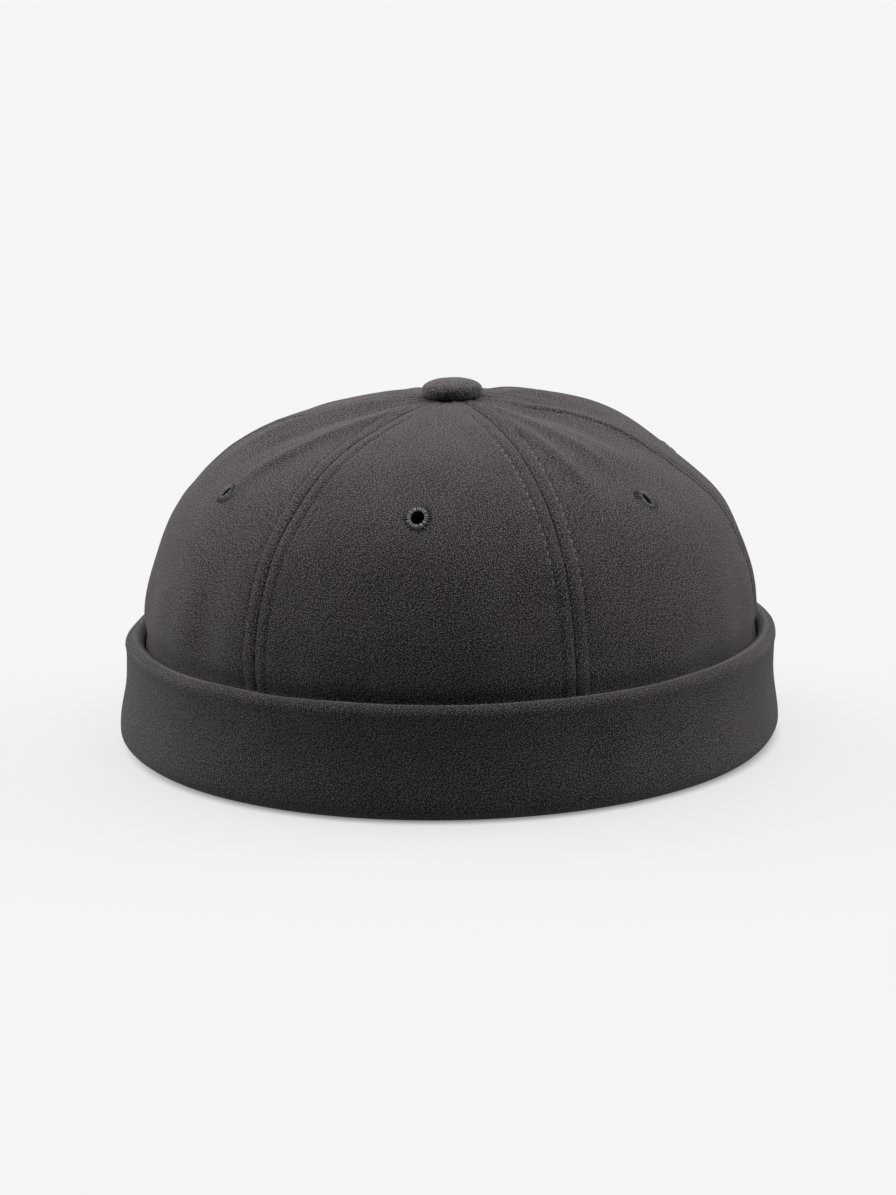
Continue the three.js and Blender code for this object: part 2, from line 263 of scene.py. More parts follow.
# The raised band beside a seam, from where it starts to rise to where it is full
BAND_START = 0.3 * MM
BAND_FULL = 1.8 * MM
BAND_END = STITCH_LINE - 1.6 * MM
# Share of the relief that stays under the button, and share of a dip that its stitches vary
PRESSED_SHARE = 0.3
BEAT_SHARE = 0.18
FLAT_RADIUS = 14 * MM
FULL_RADIUS = 34 * MM
# How firmly each seam is drawn in, from the one to the right of the front panel round to its left
SEAM_FIRMNESS = [1.05, 1.25, 1.05, 1.0, 1.05, 0.95]


def soft_noise(points, size, seed):
    """Noise between -1 and 1, with hills about as wide as size, at an array of points."""
    start = Vector((seed * 7.31, seed * 3.17, seed * 5.73))
    return np.array([noise.noise(Vector(point) / size + start) for point in points])


def seam_relief(distance, length, radius, strip, firmness):
    """Height of the cloth beside a seam. Each side of each seam reads its own strip of the noise."""
    turned = np.clip(1 - distance / EDGE_ROLL, 0, 1)
    roll = -EDGE_DEPTH * (1 - np.sqrt(np.maximum(1 - turned**2, 0)))
    wave = soft_noise(np.column_stack([length, strip, 0 * length]), PUCKER_REACH, 4)
    band = smooth(distance, BAND_START, BAND_FULL) - smooth(distance, BAND_END, STITCH_LINE)
    beat = 1 - BEAT_SHARE + BEAT_SHARE * np.cos(2 * math.pi * length / STITCH_PITCH)
    dip = np.exp(-(((distance - STITCH_LINE) / LINE_WIDTH) ** 2)) * beat
    past = np.exp(-np.maximum(distance - STITCH_LINE, 0) / PUCKER_REACH)
    past = past * smooth(distance, 1 * MM, STITCH_LINE)
    pressed = PRESSED_SHARE + (1 - PRESSED_SHARE) * smooth(radius, FLAT_RADIUS, FULL_RADIUS)
    sewn = firmness * (BAND_RISE * band * (1 + 0.25 * wave) - LINE_DIP * dip)
    return pressed * (roll + sewn) + PUCKER * wave * past


sample = np.array([0.0, 2.0, 4.2, 8.0]) * MM
heights = seam_relief(sample, sample * 0, sample * 0 + FULL_RADIUS, sample * 0, 1)
print("relief at 0, 2, 4.2 and 8 mm from a seam in mm:", np.round(heights / MM, 2))

# %% [markdown]
# Puckers and the cuff's grip
#
# The cloth is drawn together under the button, so soft ridges and hollows run down from it across
# the panels. They are low, about a millimetre, but the light from the sides makes them the
# liveliest thing on the crown. Noise alone gives no such rays, so each is a row of a short table:
# a line from one place to another, with a width and a height. Just above the cuff the cloth is
# gripped, so it is drawn in along a soft groove, which stays dark.

# %% The whole relief of the cloth
# Azimuth in degrees and length from the top in millimetres, where a pucker starts and where it ends,
# then its half width and its height in millimetres, negative for a hollow
PUCKERS = [
    (37, 26, 43, 68, 2.9, 1.0),
    (45, 16, 55, 58, 2.9, 1.0),
    (68, 18, 71, 54, 5.5, -1.2),
    (86, 14, 88, 60, 4.0, 1.0),
    (104, 26, 101, 46, 5.0, -0.8),
    (2, 12, 20, 38, 3.2, 0.4),
    (-12, 12, -16, 44, 4.5, 0.35),
    (-41, 24, -54, 70, 3.3, 1.15),
    (-57, 20, -64, 62, 4.2, -0.9),
    (-77, 14, -75, 62, 3.8, 1.0),
    (-92, 20, -94, 48, 4.0, -0.4),
    (-124, 16, -119, 54, 4.0, 0.5),
    (-146, 18, -150, 60, 4.0, -0.35),
    (-172, 14, -164, 50, 3.8, 0.3),
    (163, 16, 168, 58, 4.2, -0.35),
    (146, 14, 140, 56, 3.6, 0.3),
    (124, 18, 120, 50, 3.8, 0.4),
]
# Height and width of the cloth's slow waves, then of the fine gathers round the button
SOFTNESS = 0.6 * MM
SOFT_WIDTH = 20 * MM
GATHER = 0.4 * MM
GATHER_WIDTH = 3.4 * MM
GATHER_CIRCLE = 24 * MM
GATHER_START = 12 * MM
GATHER_END = 44 * MM
GRIP_DEPTH = 0.9 * MM
GRIP_WIDTH = 3.0 * MM


def pucker_relief(azimuth, radius, drop):
    """Height of the puckers at an azimuth, a radius and a length from the top of the crown."""
    total = 0 * azimuth
    for start, start_drop, end, end_drop, width, height in PUCKERS:
        share = (drop / MM - start_drop) / (end_drop - start_drop)
        line = start + (end - start) * np.clip(share, 0, 1)
        sideways = turn_between(azimuth, line) * radius / (width * MM)
        ends = smooth(share, -0.35, 0.2) * (1 - smooth(share, 0.75, 1.3))
        total = total + height * MM * np.exp(-(sideways**2)) * ends
    return total


def cloth_relief(middle, across, along):
    """How far the cloth's face stands off the crown's plain surface at places of one panel."""
    radius, height, _ = seam_at(along).T
    length = along * SEAM_LENGTH
    azimuth = middle + across * HALF_PANEL
    distance = radius * HALF_PANEL * (1 - np.abs(across))
    strip = middle * HEM_RADIUS + np.sign(across) * PANEL_WIDTH / 4
    order = round(middle / (2 * HALF_PANEL))
    firmness = np.where(across > 0, SEAM_FIRMNESS[order], SEAM_FIRMNESS[order - 1])
    beside = seam_relief(distance, length, radius, strip, firmness)
    soft = SOFTNESS * soft_noise(crown_point(middle, across, along), SOFT_WIDTH, 2)
    rays = np.column_stack([np.sin(azimuth) * GATHER_CIRCLE, np.cos(azimuth) * GATHER_CIRCLE, radius / 5])
    fading = 1 - smooth(radius, GATHER_START, GATHER_END)
    gathers = GATHER * soft_noise(rays, GATHER_WIDTH, 3) * fading
    puckers = pucker_relief(azimuth, radius, SEAM_LENGTH - length)
    free = smooth(height, FOLD_HEIGHT - 2 * MM, CUFF_HEIGHT)
    free = free * smooth(radius, BUTTON_RADIUS - 3 * MM, BUTTON_RADIUS)
    grip = -GRIP_DEPTH * np.exp(-(((height - CUFF_HEIGHT) / GRIP_WIDTH) ** 2))
    return (beside + soft + gathers + puckers) * free + grip


print("puckers:", len(PUCKERS))

# %% [markdown]
# A panel
#
# A panel could be sculpted, or simulated as sewn cloth. Here it starts as a flat slab, a grid with
# the air hole cut out and a thickness, and then each vertex is laid on the crown: left and right
# becomes across, up becomes along, and depth becomes depth below the face. The columns crowd toward
# the seams, where the relief is finest. The slab's own places are kept as its pattern map, in
# metres, so the nap follows the cloth.

# %% Lay a flat slab on the crown
COLUMNS = 128
ROWS = 200
CROWDING = 1.6
HOLE_IN_CLOTH = 3.0 * MM
# Share of the half panel and share of EYELET_DROP at which each panel's air hole sits
EYELET_PLACES = [(0.0, 0.995), (-0.08, 1.013), (0.0, 1.0), (0.0, 1.0), (0.0, 1.0), (0.15, 0.998)]


def panel_sides(x, y):
    """Share across the panel and distance from the nearest seam at slab places -1 to 1."""
    half_width = seam_at((y + 1) / 2)[:, 0] * HALF_PANEL
    distance = half_width * (1 - np.abs(x)) ** CROWDING
    return np.sign(x) * (1 - distance / half_width), distance, half_width


def new_piece(name, bm, material_slot, *nodes):
    """Turns a finished bmesh into a piece of the object, which stands for the named solids."""
    mesh = bpy.data.meshes.new(name)
    bm.to_mesh(mesh)
    bm.free()
    mesh.shade_smooth()
    piece = bpy.data.objects.new(name, mesh)
    bpy.context.collection.objects.link(piece)
    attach(piece, "root")
    if nodes:
        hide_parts(*nodes)
    return piece


def places_of(mesh):
    """The mesh's vertices as an array of rows."""
    places = np.zeros(len(mesh.vertices) * 3)
    mesh.vertices.foreach_get("co", places)
    return places.reshape(-1, 3)


def put_places(mesh, places):
    mesh.vertices.foreach_set("co", places.ravel())
    mesh.update()


def put_pattern(mesh, pattern):
    """Gives the mesh a pattern map from one pair of metres for each vertex."""
    corners = np.zeros(len(mesh.loops), int)
    mesh.loops.foreach_get("vertex_index", corners)
    layer = mesh.uv_layers.new(name="pattern")
    layer.data.foreach_set("uv", pattern[corners].ravel())


def panel_slab(eyelet_x, eyelet_y):
    """Flat slab from -1 to 1 each way with a hole, and its depth from 0 to -1."""
    bm = bmesh.new()
    bmesh.ops.create_grid(bm, x_segments=COLUMNS, y_segments=ROWS, size=1)
    half_length = SEAM_LENGTH / 2
    half_width = float(panel_sides(np.array([eyelet_x]), np.array([eyelet_y]))[2][0])

    def from_hole(point):
        share = math.copysign(1 - (1 - abs(point.x)) ** CROWDING, point.x)
        middle = math.copysign(1 - (1 - abs(eyelet_x)) ** CROWDING, eyelet_x)
        return Vector(((share - middle) * half_width, (point.y - eyelet_y) * half_length))

    inside = [face for face in bm.faces if from_hole(face.calc_center_median()).length < HOLE_IN_CLOTH]
    bmesh.ops.delete(bm, geom=inside, context="FACES")
    bmesh.ops.solidify(bm, geom=bm.faces[:], thickness=1)
    return bm


test = panel_slab(0.0, 0.2)
depths = sorted({round(vertex.co.z, 3) for vertex in test.verts})
up = [face for face in test.faces if face.normal.z > 0.9]
print("slab depths:", depths, "faces that look up lie at", {round(up[0].calc_center_median().z, 2)})
test.free()

# %% Make the six panels
def panel_across(share):
    """Slab place for a share of the half panel's width."""
    return math.copysign(1 - (1 - abs(share)) ** (1 / CROWDING), share)


def make_panel(order):
    name = SIDES[order]
    middle = 2 * HALF_PANEL * order
    side, drop = EYELET_PLACES[order]
    eyelet_y = 2 * (1 - EYELET_DROP * drop / SEAM_LENGTH) - 1
    bm = panel_slab(panel_across(side), eyelet_y)
    piece = new_piece(f"cloth_panel_{name}", bm, "crown_cloth", f"panel_{name}")
    slab = places_of(piece.data)
    along = (slab[:, 1] + 1) / 2
    depth = np.abs(slab[:, 2])
    across, _, half_width = panel_sides(slab[:, 0], slab[:, 1])
    length = along * SEAM_LENGTH
    outer = cloth_relief(middle, across, along)
    places = crown_point(middle, across, along, outer - PANEL_CLOTH * depth)
    put_places(piece.data, places)
    slant = -1 if "left" in name else 1
    put_pattern(piece.data, np.column_stack([slant * across * half_width, length]))
    return piece


panels = [make_panel(order) for order in range(len(SIDES))]
print("triangles of a panel:", 2 * len(panels[0].data.polygons))

# %% [markdown]
# The cuff
#
# The cuff is one strip of cloth. It starts under the hem, rolls outward, climbs as the outer leaf,
# folds over at the top and turns down beside the crown. As a shape of turning it is best spun: the
# folded strip's section is drawn once with arcs and curves, spun about the cap's axis, and then
# pushed in and out to look soft.

# %% Section of the cuff
def arc(middle, radii, start, end, steps):
    """Points on a round or oval arc, from one angle to another in degrees."""
    angles = np.radians(np.linspace(start, end, steps + 1))
    return np.column_stack([middle[0] + radii[0] * np.cos(angles), middle[1] + radii[1] * np.sin(angles)])


def bend(steps, *corners):
    """Points on the smooth bend that the corners pull on, a straight line where there are two."""
    share = np.linspace(0, 1, steps + 1)[:, None]
    points = [np.array(corner, float) for corner in corners]
    while len(points) > 1:
        points = [(1 - share) * first + share * second for first, second in zip(points, points[1:])]
    return points[0]


def joined(*stretches):
    """One run of points, without the first of each later stretch."""
    return np.vstack([stretches[0]] + [stretch[1:] for stretch in stretches[1:]])


def cuff_face(inset):
    """One face of the strip from under the hem to the end of the turned-in leaf."""
    waist = HEM_RADIUS + CUFF_WAIST_REACH - inset
    fold_middle = HEM_RADIUS + GAP + FOLD_RADIUS
    fold = FOLD_RADIUS - inset
    start = (fold_middle + fold * math.cos(CUFF_FOLD_FLARE), FOLD_HEIGHT - fold * math.sin(CUFF_FOLD_FLARE))
    aim = (waist, start[1] - (start[0] - waist) / math.tan(CUFF_FOLD_FLARE))
    widest = WIDEST_RADIUS - inset
    return joined(
        bend(3, (INNER_RADIUS, inset), (FOOT_EDGE, inset)),
        arc((FOOT_EDGE, CUFF_ROLL_HEIGHT), (widest - FOOT_EDGE, CUFF_ROLL_HEIGHT - inset), -90, 0, 9),
        bend(
            13,
            (widest, CUFF_ROLL_HEIGHT),
            (widest, CUFF_ROLL_HEIGHT + CUFF_SLACK),
            (waist, CUFF_WAIST_HEIGHT - CUFF_SLACK),
            (waist, CUFF_WAIST_HEIGHT),
        ),
        bend(8, (waist, CUFF_WAIST_HEIGHT), aim, start),
        arc((fold_middle, FOLD_HEIGHT), (fold, fold), -math.degrees(CUFF_FOLD_FLARE), 180, 12),
        bend(6, (fold_middle - fold, FOLD_HEIGHT), (fold_middle - fold, CUFF_HEIGHT - CUFF_TURN_IN)),
    )


def ring(outline, steps):
    """Spins a closed outline of radius and height about the cap's axis."""
    bm = bmesh.new()
    verts = [bm.verts.new((radius, 0, height)) for radius, height in outline]
    edges = [bm.edges.new(pair) for pair in zip(verts, verts[1:] + verts[:1])]
    bmesh.ops.spin(
        bm, geom=verts + edges, cent=(0, 0, 0), axis=(0, 0, 1),
        angle=2 * math.pi, steps=steps, use_merge=True,
    )
    bmesh.ops.recalc_face_normals(bm, faces=bm.faces[:])
    return bm


# %% Make the cuff
CUFF_STEPS = 640
# Azimuth and span in degrees, depth as a share of CUFF_SWELL
CUFF_STRETCHES = [(-78, 20, 1.0), (-40, 16, 0.25), (30, 14, 0.2), (80, 18, -0.5), (150, 20, 0.4)]
CUFF_SOFTNESS = 0.55 * MM
CREST_SOFTNESS = 0.5 * MM
CREST_HILL = 28 * MM


def cuff_swell(azimuth, radius, height):
    """How far the lower roll stands out from a plain ring."""
    swell = sum(
        CUFF_SWELL * depth * np.exp(-((turn_between(azimuth, place) / math.radians(span)) ** 2))
        for place, span, depth in CUFF_STRETCHES
    )
    low = 1 - smooth(height, CUFF_ROLL_HEIGHT, CUFF_HEIGHT)
    return swell * smooth(radius, FOOT_EDGE, WIDEST_RADIUS) * low


outside = cuff_face(0)
inside = cuff_face(CUFF_CLOTH)[::-1]
outline = np.vstack([outside, inside])
cuff = new_piece("cloth_cuff", ring(outline, CUFF_STEPS), "cuff_cloth", "cuff")
places = places_of(cuff.data)
radius = np.hypot(places[:, 0], places[:, 1])
azimuth = np.arctan2(places[:, 0], -places[:, 1])
height = places[:, 2]
strip = np.concatenate([[0], np.cumsum(np.linalg.norm(np.diff(outline, axis=0), axis=1))])
nearest = [np.argmin(np.hypot(outline[:, 0] - r, outline[:, 1] - h)) for r, h in zip(radius, height)]
put_pattern(cuff.data, np.column_stack([azimuth * HEM_RADIUS, strip[nearest]]))
outward = smooth(radius, HEM_RADIUS + FOLD_RADIUS, HEM_RADIUS + CUFF_WAIST_REACH - CUFF_CLOTH)
lift = smooth(height, 1 * MM, 12 * MM)
hills = soft_noise(np.column_stack([places[:, :2], height / 2]), SOFT_WIDTH, 9)
drift = CUFF_SOFTNESS * hills * outward * lift
new_radius = radius + cuff_swell(azimuth, radius, height) + drift
rise = CREST_SOFTNESS * soft_noise(np.column_stack([places[:, :2], height * 0]), CREST_HILL, 11)
places[:, 2] += rise * smooth(height, CUFF_WAIST_HEIGHT, CUFF_HEIGHT)
places[:, :2] *= (new_radius / radius)[:, None]
put_places(cuff.data, places)
print("triangles of the cuff:", 2 * len(cuff.data.polygons))

# %% [markdown]
# The covered button
#
# A covered button is a metal or plastic disc with a circle of the same cloth drawn tight over it,
# so its top is smooth and its side shows small gathers. It is spun from half an outline, and the
# gathers are a wave round its side.

# %% Make the button
BUTTON_STEPS = 144
BUTTON_GATHER = 0.1 * MM
BUTTON_GATHER_WIDTH = 2.2 * MM
BUTTON_UNEVEN = 0.12 * MM


def crown_height_at(radius):
    """Height of the crown's cloth at a radius near the top."""
    along = np.linspace(1, 0.8, 400)
    line = seam_at(along)
    return float(np.interp(radius, line[:, 0], line[:, 1]))


seat_edge = crown_height_at(BUTTON_RADIUS) + GAP
crest = CROWN_HEIGHT + BUTTON_HEIGHT
button_outline = joined(
    bend(4, (0, CROWN_HEIGHT + GAP), (BUTTON_RADIUS - BUTTON_EDGE, seat_edge)),
    bend(
        5,
        (BUTTON_RADIUS - BUTTON_EDGE, seat_edge),
        (BUTTON_RADIUS, seat_edge),
        (BUTTON_RADIUS, seat_edge + BUTTON_SIDE),
    ),
    bend(
        14,
        (BUTTON_RADIUS, seat_edge + BUTTON_SIDE),
        (BUTTON_RADIUS, seat_edge + BUTTON_SIDE + BUTTON_SHOULDER),
        (BUTTON_FLAT, crest),
        (0, crest),
    ),
)


def disc(outline, steps):
    """Spins an outline that starts and ends on the axis."""
    bm = bmesh.new()
    verts = [bm.verts.new((radius, 0, height)) for radius, height in outline]
    edges = [bm.edges.new(pair) for pair in zip(verts, verts[1:])]
    bmesh.ops.spin(
        bm, geom=verts + edges, cent=(0, 0, 0), axis=(0, 0, 1),
        angle=2 * math.pi, steps=steps, use_merge=True,
    )
    bmesh.ops.remove_doubles(bm, verts=bm.verts[:], dist=0.005 * MM)
    bmesh.ops.recalc_face_normals(bm, faces=bm.faces[:])
    return bm


button = new_piece("cloth_button", disc(button_outline, BUTTON_STEPS), "button_cloth", "button")
places = places_of(button.data)
radius = np.hypot(places[:, 0], places[:, 1])
azimuth = np.arctan2(places[:, 0], -places[:, 1])
around = np.column_stack([np.sin(azimuth), np.cos(azimuth), 0 * azimuth]) * BUTTON_RADIUS
at_side = smooth(radius, 0.75 * BUTTON_RADIUS, BUTTON_RADIUS)
gather = BUTTON_GATHER * soft_noise(around, BUTTON_GATHER_WIDTH, 5) * at_side
scale = 1 + gather / np.maximum(radius, MM)
places[:, :2] *= scale[:, None]
places[:, 2] += BUTTON_UNEVEN * soft_noise(places, 5 * MM, 6) * smooth(places[:, 2], seat_edge, crest)
places[:, 0] += TOP_LEAN
put_places(button.data, places)
print("triangles of the button:", 2 * len(button.data.polygons))

# %% [markdown]
# The stitched air holes
#
# An air hole is worked with a thread that loops over a small ring again and again. Near the hole
# the loops lie close and catch the light as a raised ring; outward each one ends in a stitch of its
# own length, so the rim looks like a small dark sun. The ring's light is a painted highlight on the
# thread, and the hole's edge and the ring under the loops carry painted shade. One loop is swept
# along a bent path and then repeated round the hole with small changes.

# %% Make the air holes
# How far each hole is drawn together sideways and the whole is drawn long, in the order of SIDES
PINCH = [0.95, 0.4, 0.7, 0.85, 0.75, 0.35]
STRETCH = [1.18, 1.0, 1.05, 1.1, 1.05, 0.85]
LOOPS = 27
THREAD = 0.36 * MM
LOOP_SIDES = 6
LOOP_UNEVEN = 0.35 * MM
# Lightness of the loops, how far it varies from loop to loop, and that of the ring under them,
# which is kept low as painted shade between the loops
LOOP_LIGHTNESS = 0.75
LOOP_CHANGE = 0.25
PAINTED_SHADE_UNDER_LOOPS = 0.12
# Radius from the hole's middle and height over the cloth in millimetres, along one loop
LOOP_PATH = [
    (2.0, -1.4), (2.0, -0.3), (2.15, 0.25), (2.6, 0.5),
    (3.05, 0.3), (3.4, 0.02), (4.2, -0.02), (4.4, -0.3),
]
# The same for the section of the ring of thread that lies under the loops, dark with painted shade
RING_SECTION = [(2.1, -1.5), (2.1, 0.0), (2.6, 0.28), (3.2, 0.0), (4.3, -0.08), (4.5, -0.7)]


def eyelet_seat(order):
    """Matrix that carries a flat eyelet, which looks up, to its place on the crown."""
    middle = 2 * HALF_PANEL * order
    side, drop = EYELET_PLACES[order]
    along = 1 - EYELET_DROP * drop / SEAM_LENGTH
    reach = EYELET_RADIUS / SEAM_LENGTH
    spread = 2 * EYELET_RADIUS / PANEL_WIDTH
    across = np.array([side, side, side, side - spread, side + spread])
    share = np.array([along, along - reach, along + reach, along, along])
    raised = cloth_relief(middle, across, share)[0]
    centre, low, high, left, right = (
        Vector(point) for point in crown_point(middle, across, share, raised)
    )
    across_axis = (right - left).normalized()
    normal = across_axis.cross(high - low).normalized()
    up_axis = normal.cross(across_axis)
    turn = Matrix((across_axis, up_axis, normal)).transposed().to_4x4()
    return Matrix.Translation(centre) @ turn


def sweep_loop(bm, turn, stretch, lift, width):
    """One loop of thread along LOOP_PATH, turned about the hole's axis."""
    path = [Vector((radius * MM, 0, height * MM)) for radius, height in LOOP_PATH]
    path[-2].x = stretch
    path[-1].x = stretch + 0.2 * MM
    path[3].z += lift
    section = bmesh.ops.create_circle(bm, segments=LOOP_SIDES, radius=width / 2)["verts"]
    forward = (path[1] - path[0]).normalized()
    aim = Matrix.Translation(path[0]) @ forward.to_track_quat("Z", "Y").to_matrix().to_4x4()
    bmesh.ops.transform(bm, matrix=aim, verts=section)
    made = list(section)
    edges = list({edge for vertex in section for edge in vertex.link_edges})
    for here, there in zip(path, path[1:]):
        turned = forward.rotation_difference(there - here)
        forward = (there - here).normalized()
        ring_verts = list({vertex for edge in edges for vertex in edge.verts})
        bmesh.ops.rotate(bm, verts=ring_verts, cent=here, matrix=turned.to_matrix())
        grown = bmesh.ops.extrude_edge_only(bm, edges=edges)["geom"]
        edges = [part for part in grown if isinstance(part, bmesh.types.BMEdge)]
        new = [part for part in grown if isinstance(part, bmesh.types.BMVert)]
        bmesh.ops.translate(bm, verts=new, vec=there - here)
        edges = [edge for edge in edges if all(vertex in new for vertex in edge.verts)]
        made += new
    bmesh.ops.rotate(bm, verts=made, cent=(0, 0, 0), matrix=Matrix.Rotation(turn, 3, "Z"))


def flat_eyelet(seed):
    """An eyelet that looks up, with its hole's middle at the origin."""
    bm = bmesh.new()
    for count in range(LOOPS):
        spot = Vector((count * 3.7, seed * 5.1, 0.3))
        turn = 2 * math.pi * (count + 0.35 * noise.noise(spot)) / LOOPS
        stretch = EYELET_RADIUS - LOOP_UNEVEN + LOOP_UNEVEN * noise.noise(spot * 1.7)
        sweep_loop(bm, turn, stretch, 0.08 * MM * noise.noise(spot * 2.3), THREAD)
    under = ring([(radius * MM, height * MM) for radius, height in RING_SECTION], 2 * LOOPS)
    low = bpy.data.meshes.new("under")
    under.to_mesh(low)
    under.free()
    bm.from_mesh(low)
    bpy.data.meshes.remove(low)
    bmesh.ops.recalc_face_normals(bm, faces=bm.faces[:])
    return bm


def make_eyelet(order):
    """An eyelet on its panel, with the radius and the thread's lightness as its pattern map; the ring under
    the loops gets a low lightness as painted shade.
    """
    side = SIDES[order]
    bm = flat_eyelet(order)
    eyelet = new_piece(f"thread_eyelet_{side}", bm, "eyelet_thread", f"eyelet_{side}")
    places = places_of(eyelet.data)
    radius = np.hypot(places[:, 0], places[:, 1])
    turn = np.arctan2(places[:, 1], places[:, 0]) * LOOPS / (2 * math.pi)
    thread = np.arange(len(places)) < LOOPS * LOOP_SIDES * len(LOOP_PATH)
    loops = LOOP_LIGHTNESS + LOOP_CHANGE * np.sin(np.round(turn) * 2.4 + order)
    lightness = np.where(thread, loops, PAINTED_SHADE_UNDER_LOOPS)
    put_pattern(eyelet.data, np.column_stack([radius, lightness]))
    drawn = PINCH[order] + (1 - PINCH[order]) * smooth(radius, EYELET_HOLE, EYELET_RADIUS)
    places[:, 0] *= drawn
    places[:, 1] *= STRETCH[order]
    put_places(eyelet.data, places)
    eyelet.data.transform(eyelet_seat(order))
    return eyelet


eyelets = [make_eyelet(order) for order in range(len(SIDES))]
print("triangles of an eyelet:", 2 * len(eyelets[0].data.polygons))

# %% [markdown]
# Topstitching
#
# Two lines of stitches run beside each seam. A stitch is a short, slightly plump piece of thread
# whose ends go down into the cloth. Each is a small ball pulled long, a few dozen faces at most,
# and a loop lays hundreds of them along the lines, as one joined mesh for each panel.

# %% Make the topstitching
STITCH_LENGTH = 1.6 * MM
STITCH_WIDTH = 0.28 * MM
# Depth of the thread's middle below the cloth's face, where it lies shallow and where it is drawn in
SHALLOW = 0.03 * MM
DRAWN_IN = 0.2 * MM
SINK_CHANGE = 0.18 * MM
BARE_RADIUS = 30 * MM
# Azimuths in degrees of the seams whose stitches lie shallow, and lengths from the top between
# which they do
SHALLOW_SEAMS = [30, 150, -90]
SHALLOW_FROM = 50 * MM
SHALLOW_TO = 96 * MM
SHALLOW_EASE = 16 * MM


def stitch_line(bm, order, hand):
    """Stitches beside the seam at the left or right side of a panel."""
    middle = 2 * HALF_PANEL * order
    length = (np.arange(int(SEAM_LENGTH / STITCH_PITCH)) + 0.5) * STITCH_PITCH
    radius, height, _ = seam_at(length / SEAM_LENGTH).T
    length = length[(height > CUFF_HEIGHT) & (radius > BARE_RADIUS)]
    radius = radius[(height > CUFF_HEIGHT) & (radius > BARE_RADIUS)]
    across = hand * (1 - STITCH_LINE / (radius * HALF_PANEL))
    shallow = any(abs(turn_between(middle + hand * HALF_PANEL, seam)) < 0.1 for seam in SHALLOW_SEAMS)
    chance = soft_noise(np.column_stack([length, across * 0 + order, across * 0 + hand]), 2.3 * MM, 7)
    drop = SEAM_LENGTH - length
    out = smooth(drop, SHALLOW_FROM - SHALLOW_EASE, SHALLOW_FROM)
    out = out * (1 - smooth(drop, SHALLOW_TO, SHALLOW_TO + SHALLOW_EASE))
    sink = DRAWN_IN - (DRAWN_IN - SHALLOW) * out * shallow + SINK_CHANGE * np.abs(chance)
    step = 0.4 * STITCH_LENGTH
    relief = cloth_relief(middle, across, length / SEAM_LENGTH) - sink
    rows = [crown_point(middle, across, (length + shift) / SEAM_LENGTH, relief) for shift in (0, -step, step)]
    rows.append(crown_point(middle, across, length / SEAM_LENGTH, relief + MM))
    for here, low, high, above in zip(*rows):
        lengthwise = Vector(high - low).normalized()
        sideways = lengthwise.cross(Vector(above - here)).normalized()
        normal = sideways.cross(lengthwise)
        half_width, half_length = STITCH_WIDTH / 2, STITCH_LENGTH / 2
        axes = Matrix((sideways * half_width, lengthwise * half_length, normal * half_width))
        place = Matrix.Translation(here) @ axes.transposed().to_4x4()
        bmesh.ops.create_uvsphere(bm, u_segments=6, v_segments=5, radius=1, matrix=place)


stitches = []
for order, side in enumerate(SIDES):
    bm = bmesh.new()
    stitch_line(bm, order, -1)
    stitch_line(bm, order, 1)
    stitches.append(new_piece(f"thread_topstitch_{side}", bm, "eyelet_thread"))
print("triangles of a panel's stitches:", sum(len(face.vertices) - 2 for face in stitches[0].data.polygons))

# %% [markdown]
# The nap of the cloth
#
# Brushed cloth has short fibres that lie in small tufts, so up close it is a field of soft dark
# and light flecks that run slantwise, and from afar it is mottled where it was stroked. The same
# nap covers the panels, the cuff and the button, so it is a shader node group with named inputs:
# it takes places and puts out a shade from 0 to 1 and a height.

# %% Node group of the nap
# Flecks to a metre, the tufts' slant and stretch, and the share of fibres in the fine grain
TUFTS = 3300.0
TUFT_SLANT = math.radians(-40)
TUFT_STRETCH = 2.0
FIBRES = 3100.0
FIBRE_SHARE = 0.55
# Strokes to a metre and their share of the shade
STROKES = 55.0
STROKE_SHARE = 0.17
# Height of the grain at which a fleck starts to show, and at which it is as light as it gets
FLECK_START = 0.505
FLECK_FULL = 0.6


def add_node(tree, kind, **inputs):
    """A new node of that kind, with values set on its sockets by name."""
    node = tree.nodes.new(kind)
    for name, value in inputs.items():
        node.inputs[name.replace("_", " ")].default_value = value
    return node


